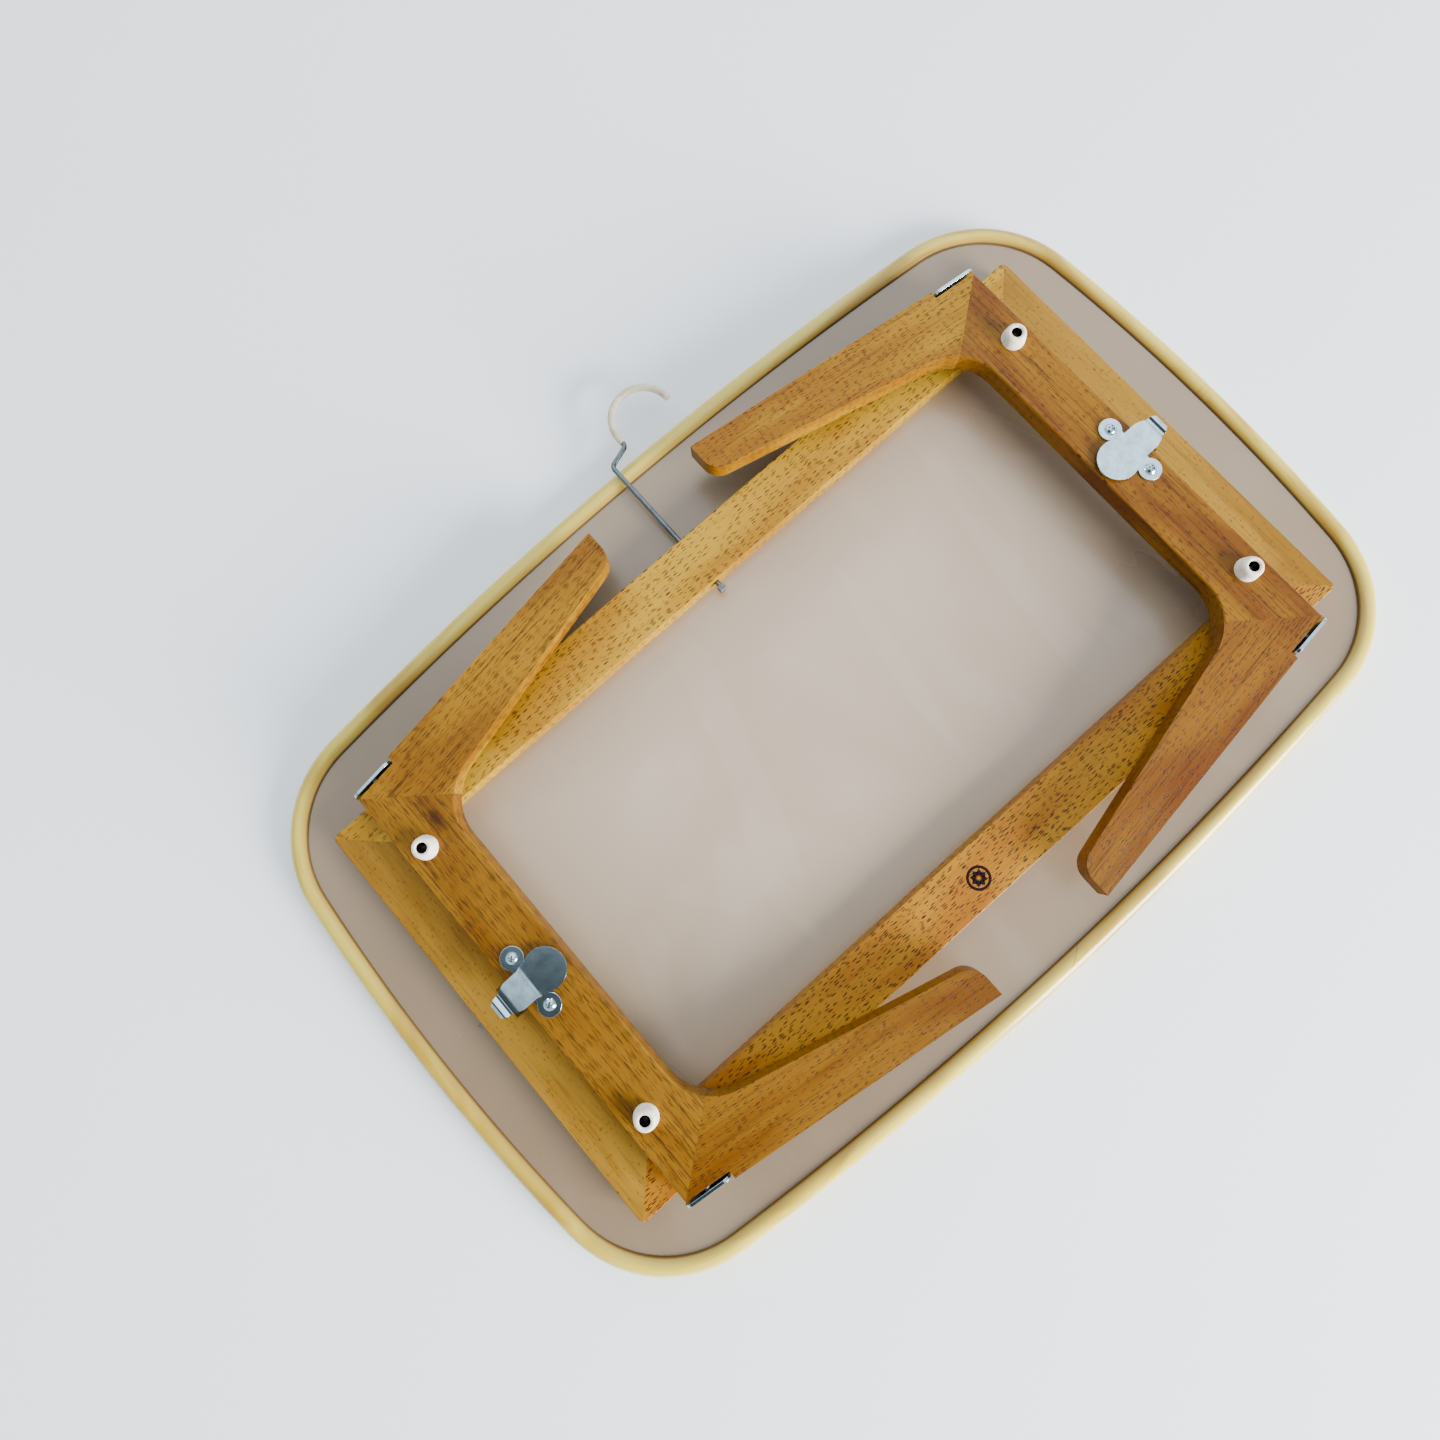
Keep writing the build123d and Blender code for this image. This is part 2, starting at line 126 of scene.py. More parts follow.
def wood(name, light, mid, dark, fleck_length=2.7, fleck_width=0.7, fleck_share=0.5, streaks=0.3,
         fleck_depth=0.75, knot=None):
    """Varnished beech: broad colour drift, growth lines and short dark ray flecks."""
    s = Shader(name, roughness=0.38)
    grain = s.grain()
    drift = s.noise(s.scaled(grain, (9, 38, 38)), detail=3.0, distortion=0.6)
    colour = s.mix(s.band(drift, 0.36, 0.62), mid, light)
    lines = s.noise(s.scaled(grain, (26, 950, 950)), detail=4.0, rough=0.7)
    wide_lines = s.noise(s.scaled(grain, (7, 170, 170), (3, 1, 2)), detail=3.0, distortion=0.4)
    colour = s.mix(s.math("MULTIPLY", s.band(lines, 0.5, 0.66), streaks), colour, dark)
    colour = s.mix(s.math("MULTIPLY", s.band(wide_lines, 0.54, 0.72), streaks * 0.45), colour, dark)
    side = s.math("ADD", s.part(grain, "Y"), s.part(grain, "Z"))
    wobble = s.noise(s.scaled(grain, (420, 420, 420)), detail=2.0)
    side = s.math("ADD", side, s.math("MULTIPLY", wobble, 0.0007))
    flat = s.node("ShaderNodeCombineXYZ", {0: s.part(grain, "X"), 1: side}).outputs[0]
    cell = s.scaled(flat, (1000 / (fleck_length * 1.35), 1000 / (fleck_width * 1.7), 1))
    voronoi = s.node("ShaderNodeTexVoronoi", {"Vector": cell, "Scale": 1.0}, voronoi_dimensions="2D")
    distance, tint = voronoi.outputs["Distance"], voronoi.outputs["Color"]
    size = s.band(s.part(tint, "Y"), 0.0, 1.0, 0.22, 0.40)
    fleck = s.band(s.math("SUBTRACT", distance, size), 0.0, -0.14)
    chosen = s.band(s.part(tint, "X"), 1 - fleck_share, 1 - fleck_share + 0.1)
    fleck = s.math("MULTIPLY", fleck, chosen)
    colour = s.mix(s.math("MULTIPLY", fleck, fleck_depth), colour, dark)
    if knot:
        from_knot = s.scaled(s.place(), (1, 0.6, 0), (-knot[0], -knot[1] * 0.6, 0))
        reach = s.node("ShaderNodeVectorMath", {0: from_knot}, operation="LENGTH").outputs["Value"]
        reach = s.math("ADD", reach, s.math("MULTIPLY", wobble, 0.004))
        colour = s.mix(s.band(reach, 0.0075, 0.0025, 0.0, 0.7), colour, dark)
    s.set("Base Color", colour)
    pores = s.noise(s.scaled(grain, (90, 1500, 1500)), detail=2.0)
    height = s.math("SUBTRACT", s.math("MULTIPLY", pores, 0.25), s.math("MULTIPLY", fleck, 0.6))
    s.bump(height, 0.35, 0.0002)
    s.set("Roughness", s.band(s.math("ADD", drift, s.math("MULTIPLY", pores, 0.3)), 0.4, 0.9, 0.34, 0.5))
    s.set("Specular IOR Level", 0.19)
    return s.material


# The rim's scarf joint: where it crosses the front side, and how far it slants along X per metre of Y.
SCARF_X, SCARF_Y, SCARF_SLANT = 0.008, 0.182, 1.6


def rim_varnish():
    """Pale bent pole: cream with tan patches, long fibres and a scarf joint, and painted shade: browner on
    its side towards the tray, darkest in the panel's slot.
    """
    s = Shader("rim_pole_varnish", roughness=0.24)
    grain = s.grain()
    patches = s.noise(s.scaled(grain, (14, 60, 60)), detail=3.0, distortion=0.8)
    colour = s.mix(s.band(patches, 0.44, 0.72), srgb(210, 186, 74), srgb(176, 142, 42))
    fibres = s.noise(s.scaled(grain, (22, 700, 700)), detail=4.0, rough=0.7)
    colour = s.mix(s.math("MULTIPLY", s.band(fibres, 0.5, 0.75), 0.3), colour, srgb(150, 104, 34))
    # Painted shade: the inner side of the pole, towards the tray, is mixed to brown.
    inner = s.band(s.part(grain, "Y"), 0.001, -0.005)
    colour = s.mix(s.math("MULTIPLY", inner, 0.7), colour, srgb(128, 92, 22))
    place = s.place()
    slant = s.math("SUBTRACT", s.part(place, "X"), s.math("MULTIPLY", s.part(place, "Y"), SCARF_SLANT))
    from_scarf = s.math("ABSOLUTE", s.math("SUBTRACT", slant, SCARF_X + SCARF_SLANT * SCARF_Y))
    front = s.band(s.part(place, "Y"), -0.10, -0.12)
    scarf = s.math("MULTIPLY", s.band(from_scarf, 0.0006, 0.0002), front)
    colour = s.mix(s.math("MULTIPLY", scarf, 0.6), colour, srgb(96, 60, 20))
    # Painted shade: the crevice where the panel enters the slot is darkened almost to black-brown, and it
    # is also made rough.
    crevice = s.band(s.part(grain, "Y"), -0.0036, -0.0050)
    colour = s.mix(s.math("MULTIPLY", crevice, 0.9), colour, srgb(60, 36, 12))
    s.set("Base Color", colour)
    s.set("Roughness", s.band(crevice, 0.0, 0.6, 0.22, 0.95))
    s.bump(fibres, 0.2, 0.0002)
    return s.material


def laminate(frame_half_x, frame_half_y):
    """Underside of the panel: satin warm grey with faint clouds, and painted shade: browner towards the
    frame and darker still outside it.
    """
    s = Shader("panel_laminate", roughness=0.42)
    place = s.place()
    clouds = s.noise(s.scaled(place, (4, 6, 6)), detail=4.0, distortion=1.2)
    colour = s.mix(s.band(clouds, 0.35, 0.68), srgb(166, 145, 123), srgb(178, 160, 140))
    wiped = s.noise(s.scaled(place, (11, 3, 3)), detail=2.0, distortion=2.0)
    colour = s.mix(s.math("MULTIPLY", s.band(wiped, 0.55, 0.6), 0.15), colour, srgb(190, 175, 159))
    # Painted shade from the frame: the colour browns from halfway out towards the frame and goes darker
    # still outside it.
    along = s.math("MULTIPLY", s.math("ABSOLUTE", s.part(place, "X")), 1 / frame_half_x)
    across = s.math("MULTIPLY", s.math("ABSOLUTE", s.part(place, "Y")), 1 / frame_half_y)
    reach = s.math("ADD", s.math("MAXIMUM", along, across), s.math("MULTIPLY", clouds, 0.3))
    colour = s.mix(s.math("MULTIPLY", s.band(reach, 0.50, 1.16), 0.55), colour, srgb(132, 111, 86))
    colour = s.mix(s.math("MULTIPLY", s.band(reach, 1.16, 1.32), 0.5), colour, srgb(98, 81, 58))
    s.set("Base Color", colour)
    orange_peel = s.noise(s.scaled(place, (900, 900, 900)), detail=2.0)
    s.set("Roughness", s.band(wiped, 0.4, 0.65, 0.26, 0.36))
    s.set("Specular IOR Level", 0.8)
    s.bump(orange_peel, 0.08, 0.0002)
    return s.material


def zinc(name, tone, roughness, cloud_scale=160):
    """Bright zinc plate with cloudy passivation, dark specks and fine rolling marks."""
    s = Shader(name, roughness=roughness, metallic=1.0)
    place = s.place()
    clouds = s.noise(s.scaled(place, (cloud_scale,) * 3), detail=4.0, rough=0.6)
    colour = s.mix(s.band(clouds, 0.35, 0.7), tone, tuple(c * 0.72 for c in tone[:3]) + (1.0,))
    specks = s.noise(s.scaled(place, (1400, 1400, 1400)), detail=1.0)
    colour = s.mix(s.math("MULTIPLY", s.band(specks, 0.66, 0.74), 0.5), colour, srgb(70, 66, 60))
    s.set("Base Color", colour)
    s.set("Roughness", s.band(clouds, 0.3, 0.75, roughness * 0.8, roughness * 1.4))
    s.bump(s.noise(s.scaled(place, (500, 2600, 2600)), detail=2.0), 0.12, 0.0001)
    return s.material


def rubber():
    """Ivory rubber, a little yellowed in places."""
    s = Shader("ivory_rubber", roughness=0.55)
    place = s.place()
    mottle = s.noise(s.scaled(place, (420, 420, 420)), detail=3.0)
    colour = s.mix(s.band(mottle, 0.4, 0.7), srgb(240, 233, 218), srgb(220, 206, 182))
    s.set("Base Color", colour)
    s.bump(s.noise(s.scaled(place, (1800, 1800, 1800)), detail=2.0), 0.15, 0.0002)
    s.set("Subsurface Weight", 0.1)
    s.set("Subsurface Radius", (0.004, 0.003, 0.002))
    return s.material


def sleeve_plastic():
    """Translucent cream tube, cloudier in places, over the wire."""
    s = Shader("cream_sleeve", roughness=0.25)
    place = s.place()
    cloud = s.noise(s.scaled(place, (170, 170, 170)), detail=3.0)
    s.set("Base Color", s.mix(s.band(cloud, 0.35, 0.7), srgb(238, 228, 204), srgb(222, 206, 172)))
    s.set("Transmission Weight", 0.35)
    s.set("IOR", 1.46)
    s.set("Subsurface Weight", 0.35)
    s.set("Subsurface Radius", (0.006, 0.005, 0.003))
    s.bump(s.noise(s.scaled(place, (600, 600, 600)), detail=2.0), 0.1, 0.0002)
    return s.material


def oxidised_steel_and_hollow_shade():
    s = Shader("dark_screw_steel_and_hollow_shade", roughness=0.5, metallic=0.8)
    rust = s.noise(s.scaled(s.place(), (900, 900, 900)), detail=4.0)
    s.set("Base Color", s.mix(s.band(rust, 0.4, 0.7), srgb(26, 25, 25), srgb(58, 46, 38)))
    s.bump(rust, 0.3, 0.0002)
    return s.material


def stamp_ink():
    s = Shader("stamp_ink", roughness=0.6)
    s.set("Specular IOR Level", 0.1)
    worn = s.noise(s.scaled(s.place(), (1600, 1600, 1600)), detail=3.0)
    s.set("Base Color", s.mix(s.band(worn, 0.5, 0.68), srgb(16, 0, 3), srgb(44, 8, 8)))
    return s.material


def floor_paint():
    s = Shader("floor_paint", roughness=0.75)
    place = s.place()
    tone = s.noise(s.scaled(place, (1.5, 1.5, 1.5)), detail=3.0)
    s.set("Base Color", s.mix(s.band(tone, 0.3, 0.7), srgb(243, 248, 255), srgb(247, 251, 255)))
    return s.material


# ---------------------------------------------------------------- mesh tools

def new_piece(name, mesh, material, body, slot, *nodes):
    """A finished mesh as a piece that rides on body and stands for the CAD nodes."""
    piece = bpy.data.objects.new(name, mesh)
    bpy.context.scene.collection.objects.link(piece)
    mesh.materials.clear()
    mesh.materials.append(material)
    even = piece.modifiers.new("even_shading", "WEIGHTED_NORMAL")
    even.keep_sharp, even.weight = True, 90
    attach(piece, body)
    if nodes:
        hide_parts(*nodes)
    return piece


def grain_along(mesh, direction, shift):
    """Stores where each point lies along, across and down through the wood, in metres."""
    along = Vector((*direction, 0)).normalized()
    across = Vector((-along.y, along.x, 0))
    values = []
    for v in mesh.vertices:
        values += [v.co.dot(along) + shift, v.co.dot(across) + shift * 0.7, v.co.z]
    mesh.attributes.new("grain", "FLOAT_VECTOR", "POINT").data.foreach_set("vector", values)


# Tolerances, in metres and degrees.
FASTENER_MARGIN = 0.6 * MM
WELD_DISTANCE = 2e-6
FLAT_ANGLE = 0.6
ON_LINE, UPRIGHT, ON_AXIS = 3e-5, 1e-5, 1e-7


def boxes_of(prefixes):
    """The boxes of the fasteners, a little enlarged, so that their holes can be left alone."""
    margin = Vector((FASTENER_MARGIN,) * 3)
    return [(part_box(n)[0] - margin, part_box(n)[1] + margin)
            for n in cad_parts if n.startswith(prefixes)]


FASTENERS = boxes_of(("foot_screw", "latch_screw", "bracket_screw", "pivot_rivet", "rail_pin", "hook_wire"))


def at_fastener(point):
    return any(all(lo[i] <= point[i] <= hi[i] for i in range(3)) for lo, hi in FASTENERS)


def welded(node):
    """A clean copy of a CAD node's mesh, its flat faces whole again."""
    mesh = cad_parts[node].data.copy()
    bm = bmesh.new()
    bm.from_mesh(mesh)
    bmesh.ops.remove_doubles(bm, verts=bm.verts, dist=WELD_DISTANCE)
    bmesh.ops.dissolve_limit(bm, angle_limit=math.radians(FLAT_ANGLE), verts=bm.verts, edges=bm.edges)
    return mesh, bm


def round_edges(bm, width, skip=lambda a, b: False, angle=32):
    """Rounds every sharp outside edge, apart from those that skip names."""
    sharp = []
    for edge in bm.edges:
        if len(edge.link_faces) != 2 or edge.calc_face_angle(0) < math.radians(angle):
            continue
        a, b = (v.co for v in edge.verts)
        if not skip(a, b) and not at_fastener((a + b) / 2):
            sharp.append(edge)
    bmesh.ops.bevel(bm, geom=sharp, offset=width, offset_type="OFFSET", segments=3, profile=0.6,
                    affect="EDGES", clamp_overlap=True)


def finish_mesh(mesh, bm, smooth_angle=35):
    """Writes bm into mesh, smooth except at edges sharper than smooth_angle."""
    bm.normal_update()
    bm.to_mesh(mesh)
    bm.free()
    for polygon in mesh.polygons:
        polygon.use_smooth = True
    mesh.set_sharp_from_angle(angle=math.radians(smooth_angle))
    return mesh


def same_line(point, start, end):
    """Whether a plan point lies on the line through start and end, for all four quarters."""
    x, y = abs(point.x), abs(point.y)
    run, rise = end[0] - start[0], end[1] - start[1]
    off = (x - start[0]) * rise - (y - start[1]) * run
    return abs(off) / math.hypot(run, rise) < ON_LINE


def wooden(node, body, material, direction, width, mitre, shift):
    """A wooden piece with sanded edges, flush at its mitres."""
    mesh, bm = welded(node)
    round_edges(bm, width, lambda a, b: (same_line(a, *mitre) and same_line(b, *mitre)
                                         or (a - b).xy.length < UPRIGHT))
    finish_mesh(mesh, bm)
    grain_along(mesh, direction, shift)
    new_piece(f"{node}_sanded", mesh, material, body, "beech", node)


def softened(node, body, material, slot, width):
    """A metal piece with slightly broken edges."""
    mesh, bm = welded(node)
    round_edges(bm, width)
    finish_mesh(mesh, bm)
    new_piece(f"{node}_dressed", mesh, material, body, slot, node)


def turned(profile, steps=48):
    """A bmesh of a profile of (radius, height) points turned about Z."""
    bm = bmesh.new()
    rings = []
    for radius, height in profile:
        if radius < ON_AXIS:
            rings.append([bm.verts.new((0, 0, height))])
            continue
        turn = [2 * math.pi * i / steps for i in range(steps)]
        rings.append([bm.verts.new((radius * math.cos(a), radius * math.sin(a), height)) for a in turn])
    for low, high in zip(rings, rings[1:]):
        for i in range(steps):
            j = (i + 1) % steps
            corners = [low[i % len(low)], low[j % len(low)], high[j % len(high)], high[i % len(high)]]
            bm.faces.new(list(dict.fromkeys(corners)))
    return bm


def arc(radius, height, start, end, count, centre=(0, 0)):
    """Points of an elliptic arc, in degrees, as (radius, height) pairs."""
    turn = [math.radians(start + (end - start) * i / (count - 1)) for i in range(count)]
    return [(centre[0] + radius * math.cos(a), centre[1] + height * math.sin(a)) for a in turn]


# ---------------------------------------------------------------- materials

BEECH_BACK = wood("beech_back_rail", srgb(172, 133, 38), srgb(150, 106, 20), srgb(56, 22, 3),
                  4.2, 0.5, 0.6, 0.2, 0.95)
BEECH_FRONT = wood("beech_front_rail", srgb(158, 110, 24), srgb(143, 88, 16), srgb(44, 16, 2),
                   4.0, 0.58, 0.75, 0.25, 0.95)
BEECH_END = wood("beech_short_rail", srgb(146, 109, 35), srgb(128, 90, 22), srgb(78, 40, 6),
                 2.4, 0.4, 0.2, 0.35)
BEECH_BAR = wood("beech_left_crossbar", srgb(124, 85, 13), srgb(104, 66, 6), srgb(28, 10, 2),
                 7.0, 0.34, 0.6, 0.6, 0.8, knot=(-0.1955, 0.0958))
BEECH_BAR_PALE = wood("beech_right_crossbar", srgb(126, 85, 12), srgb(98, 56, 4), srgb(42, 16, 2),
                      3.6, 0.4, 0.35, 0.65)
BEECH_LEG = wood("beech_front_leg", srgb(120, 78, 4), srgb(99, 55, 2), srgb(44, 16, 2),
                 3.4, 0.42, 0.6, 0.55, 0.85)
BEECH_LEG_DEEP = wood("beech_left_front_leg", srgb(118, 79, 2), srgb(99, 60, 1), srgb(44, 20, 2),
                      3.4, 0.42, 0.5, 0.4, 0.8)
BEECH_LEG_LEFT = wood("beech_left_back_leg", srgb(144, 103, 16), srgb(116, 76, 7), srgb(40, 14, 2),
                      5.0, 0.34, 0.6, 0.65, 0.9)
BEECH_LEG_PALE = wood("beech_right_back_leg", srgb(146, 107, 20), srgb(124, 81, 8), srgb(54, 22, 3),
                      3.4, 0.42, 0.55, 0.45, 0.9)
LEG_TONES = {"left_back": BEECH_LEG_LEFT, "left_front": BEECH_LEG_DEEP,
             "right_back": BEECH_LEG_PALE, "right_front": BEECH_LEG}
ZINC = zinc("zinc_plate", srgb(188, 212, 222), 0.13)
ZINC_WIRE = zinc("zinc_wire", srgb(104, 112, 116), 0.14, 300)
ZINC_DULL = zinc("zinc_dull", srgb(120, 122, 122), 0.45, 500)


# ---------------------------------------------------------------- wooden frame and legs

# Each mitre's outer and inner end in plan, in metres, at the corner where X and Y are positive.
RAIL_MITRE = ((0.250, 0.1295), (0.220, 0.0995))
LEG_MITRE = ((0.220, 0.1305), (0.1787, 0.0984))
# How far a leg leans in Y for each metre of X.
LEG_SLOPE = 0.14
FRAME_INSIDE = RAIL_MITRE[1]
RAIL_EDGE, LEG_EDGE = 0.8 * MM, 1.3 * MM


def build_wood():
    """Every wooden piece. Its last value, the shift, gives each one its own stretch of the grain."""
    wooden("long_rail_back", "tray", BEECH_BACK, (1, 0), RAIL_EDGE, RAIL_MITRE, 0.0)
    wooden("long_rail_front", "tray", BEECH_FRONT, (1, 0), RAIL_EDGE, RAIL_MITRE, 0.37)
    for name, side in SIDES.items():
        frame_body = f"{name}_leg_frame"
        wooden(f"short_rail_{name}", "tray", BEECH_END, (0, 1), RAIL_EDGE, RAIL_MITRE, 0.61 * side)
        bar_tone = BEECH_BAR if name == "left" else BEECH_BAR_PALE
        wooden(f"crossbar_{name}", frame_body, bar_tone, (0, 1), LEG_EDGE, LEG_MITRE, 0.83 * side)
        for end_name, end in ENDS.items():
            corner = f"{name}_{end_name}"
            wooden(f"leg_{corner}", frame_body, LEG_TONES[corner], (-side, LEG_SLOPE * end), LEG_EDGE,
                   LEG_MITRE, 0.31 * side + 0.17 * end)


# ---------------------------------------------------------------- panel and rim

# Radii of the outline inside the pole, in metres: long side, end and corner.
SIDE_BOW_R, END_BOW_R, CORNER_R = 2.25, 1.157, 0.060
SLOT_GAP, SLOT_DEPTH = 0.4 * MM, 2.4 * MM
SECTION_POINTS = 44


def corner_centre(half_length, half_width, side_r, end_r, corner_r):
    """Centre of the corner arc that touches the side arc and the end arc from inside."""
    side_c, end_c = Vector((0, half_width - side_r)), Vector((half_length - end_r, 0))
    to_side, to_end = side_r - corner_r, end_r - corner_r
    gap = end_c - side_c
    along = (to_side ** 2 - to_end ** 2 + gap.length_squared) / (2 * gap.length)
    off = math.sqrt(to_side ** 2 - along ** 2)
    unit = gap.normalized()
    return side_c + unit * along + Vector((unit.y, -unit.x)) * off, side_c, end_c


def quarter_path(grow, half_length, half_width):
    """Stations round the first quarter, each as (point, outward direction)."""
    centre, side_c, end_c = corner_centre(half_length, half_width, SIDE_BOW_R, END_BOW_R, CORNER_R)
    first = math.atan2(*(centre - end_c).yx)
    last = math.atan2(*(centre - side_c).yx)
    spans = [(end_c, END_BOW_R, 0.0, first, 14), (centre, CORNER_R, first, last, 16),
             (side_c, SIDE_BOW_R, last, math.pi / 2, 26)]
    stations = []
    for middle, radius, start, end, count in spans:
        for i in range(count):
            turn = start + (end - start) * i / count
            out = Vector((math.cos(turn), math.sin(turn)))
            stations.append((middle + out * (radius + grow), out))
    stations.append((side_c + Vector((0, SIDE_BOW_R + grow)), Vector((0, 1))))
    return stations


def rim_stations(grow, half_length, half_width):
    """Stations round the whole outline, mirrored from the first quarter."""
    quarter = quarter_path(grow, half_length, half_width)
    flip = [(Vector((-p.x, p.y)), Vector((-o.x, o.y))) for p, o in reversed(quarter[:-1])]
    half = quarter + flip
    return half + [(Vector((p.x, -p.y)), Vector((o.x, -o.y))) for p, o in reversed(half[1:-1])]


def rim_section(radius, centre_z, panel_top):
    """Points of the pole's section as (outwards, up), with the slot that the panel sits in."""
    high = math.asin((panel_top + SLOT_GAP - centre_z) / radius)
    low = math.asin((0.0 - centre_z) / radius)
    start, end = -math.pi - low, math.pi - high
    ring = [start + (end - start) * i / (SECTION_POINTS - 1) for i in range(SECTION_POINTS)]
    section = [(radius * math.cos(a), centre_z + radius * math.sin(a)) for a in ring]
    section.append((section[-1][0] + SLOT_DEPTH, panel_top + SLOT_GAP))
    section.append((section[-1][0], 0.0))
    return section


def build_rim():
    low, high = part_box("rim_pole")
    radius = (high.z - low.z) / 2
    half_length, half_width = high.x - 2 * radius, high.y - 2 * radius
    panel_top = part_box("tray_panel")[1].z
    section = rim_section(radius, low.z + radius, panel_top)
    stations = rim_stations(radius, half_length, half_width)
    bm = bmesh.new()
    rings, values, travelled, before = [], [], 0.0, stations[0][0]
    for point, out in stations:
        travelled += (point - before).length
        before = point
        slim = 1 - 0.012 * (0.5 + 0.5 * math.sin(travelled * 31) * math.sin(travelled * 12 + 1))
        ring = []
        for u, z in section:
            spot = point + out * u * slim
            ring.append(bm.verts.new((spot.x, spot.y, z)))
            values += [travelled, u, z]
        rings.append(ring)
    for a, b in zip(rings, rings[1:] + rings[:1]):
        for i in range(len(section)):
            j = (i + 1) % len(section)
            bm.faces.new((a[i], a[j], b[j], b[i]))
    bmesh.ops.recalc_face_normals(bm, faces=bm.faces)
    mesh = finish_mesh(bpy.data.meshes.new("rim_pole"), bm, 50)
    mesh.attributes.new("grain", "FLOAT_VECTOR", "POINT").data.foreach_set("vector", values)
    new_piece("rim_pole_bent", mesh, rim_varnish(), "tray", "pale_cane", "rim_pole")


def dress(node, material):
    """Gives a CAD node that stays its own procedural material."""
    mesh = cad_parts[node].data
    mesh.materials.clear()
    mesh.materials.append(material)
    mesh.polygons.foreach_set("material_index", [0] * len(mesh.polygons))


# ---------------------------------------------------------------- fittings

BASE_EDGE, BRACKET_EDGE, STOP_EDGE = 0.25 * MM, 0.15 * MM, 0.4 * MM
RECESS_WIDTH, RECESS_LENGTH, RECESS_DEPTH = 0.9 * MM, 3.6 * MM, 1.1 * MM
RECESS_TURNS = (35, 125)


def build_foot(node, body, material, hollow_shade):
    """A turned rubber foot with a rounded top and a deep screw hollow, painted dark inside as shade."""
    low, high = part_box(node)
    radius, tall = (high.x - low.x) / 2, high.z - low.z
    hole = radius * 0.44
    profile = [(radius * 0.99, 0), (radius, 0.08 * tall), (radius * 0.97, 0.28 * tall),
               (radius * 0.91, 0.52 * tall)]
    profile += arc(radius * 0.26, tall * 0.38, 14, 90, 8, (radius * 0.62, tall * 0.62))
    profile += arc(radius * 0.12, tall * 0.12, 90, 180, 6, (hole + radius * 0.12, tall * 0.88))
    profile += [(hole, tall * 0.36), (0, tall * 0.36)]
    bm = turned(profile)
    base = Vector(((low.x + high.x) / 2, (low.y + high.y) / 2, low.z))
    bmesh.ops.transform(bm, matrix=Matrix.Translation(base), verts=bm.verts)
    bmesh.ops.recalc_face_normals(bm, faces=bm.faces)
    mesh = finish_mesh(bpy.data.meshes.new(node), bm, 60)
    new_piece(f"{node}_moulded", mesh, material, body, "ivory_rubber", node)
    # Painted shade: the walls and floor of the screw hollow take the dark steel material.
    mesh.materials.append(hollow_shade)
    for face in mesh.polygons:
        if (face.center - base).xy.length < hole * 1.02 and face.center.z < low.z + tall * 0.86:
            face.material_index = 1


def cross_recess(node, body, material):
    """A screw with a cross recess cut in its head, which faces +Z."""
    mesh, bm = welded(node)
    finish_mesh(mesh, bm)
    piece = new_piece(f"{node}_driven", mesh, material, body, "zinc_plate", node)
    low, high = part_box(node)
    for turn in RECESS_TURNS:
        cutter_bm = bmesh.new()
        bmesh.ops.create_cube(cutter_bm, size=1)
        spot = Vector(((low.x + high.x) / 2, (low.y + high.y) / 2, high.z))
        shape = Matrix.Translation(spot) @ Matrix.Rotation(math.radians(turn), 4, "Z")
        shape = shape @ Matrix.Diagonal((RECESS_LENGTH, RECESS_WIDTH, RECESS_DEPTH * 2, 1))
        bmesh.ops.transform(cutter_bm, matrix=shape, verts=cutter_bm.verts)
        cutter_mesh = bpy.data.meshes.new("cutter")
        cutter_bm.to_mesh(cutter_mesh)
        cutter_bm.free()
        cutter = bpy.data.objects.new("cutter", cutter_mesh)
        bpy.context.scene.collection.objects.link(cutter)
        cut = piece.modifiers.new("cut", "BOOLEAN")
        cut.object, cut.operation, cut.solver = cutter, "DIFFERENCE", "EXACT"
        bpy.context.view_layer.update()
        done = bpy.data.meshes.new_from_object(piece.evaluated_get(bpy.context.evaluated_depsgraph_get()))
        piece.modifiers.remove(cut)
        piece.data = done
        bpy.data.objects.remove(cutter)


# The lever is a disc with an arm. Marks go by the distance from the disc's far edge, in metres.
LEVER_SHEET, LEVER_EDGE = 1.2 * MM, 0.3 * MM
ARM_NECK, ARM_TIP = 8.4 * MM, 4.0 * MM
ARM_HALF_WIDTHS = [(0.0205, 0.0094), (0.0230, 0.0085), (0.0315, 0.0084), (0.0345, 0.0074), (0.0370, 0.0061),
                   (0.0398, 0.0057)]
ARM_HEIGHTS = [(0.0, 0.0), (0.0205, 0.0), (0.0222, 0.00012), (0.0342, 0.00100), (0.0362, 0.00098),
               (0.0378, 0.00045), (0.0388, 0.00052), (0.0402, 0.00145), (0.0412, 0.00152)]
TIP_HEIGHT = 0.6 * MM
BEND_LENGTH = 5.0 * MM


def between(marks, t, bend=0.0):
    """The value at t between (t, value) marks: straight, or eased where two marks are closer than bend."""
    for (t0, v0), (t1, v1) in zip(marks, marks[1:]):
        if t <= t1:
            share = (t - t0) / (t1 - t0)
            if t1 - t0 < bend:
                share = share * share * (3 - 2 * share)
            return v0 + (v1 - v0) * share
    return marks[-1][1]


def lever_half_width(t, disc_r, total):
    """Half the lever's width at t, measured from the far edge of its disc to its tip."""
    disc = math.sqrt(max(disc_r ** 2 - (t - disc_r) ** 2, 0.0))
    if t < disc_r:
        return disc
    return max(disc, between([(disc_r, ARM_NECK), *ARM_HALF_WIDTHS, (total, ARM_TIP)], t))


def lever_height(t, total):
    """Height of the lever's underside above its seat: flat disc, rising arm, crease, ridge and tip."""
    return between([*ARM_HEIGHTS, (total, TIP_HEIGHT)], t, BEND_LENGTH)


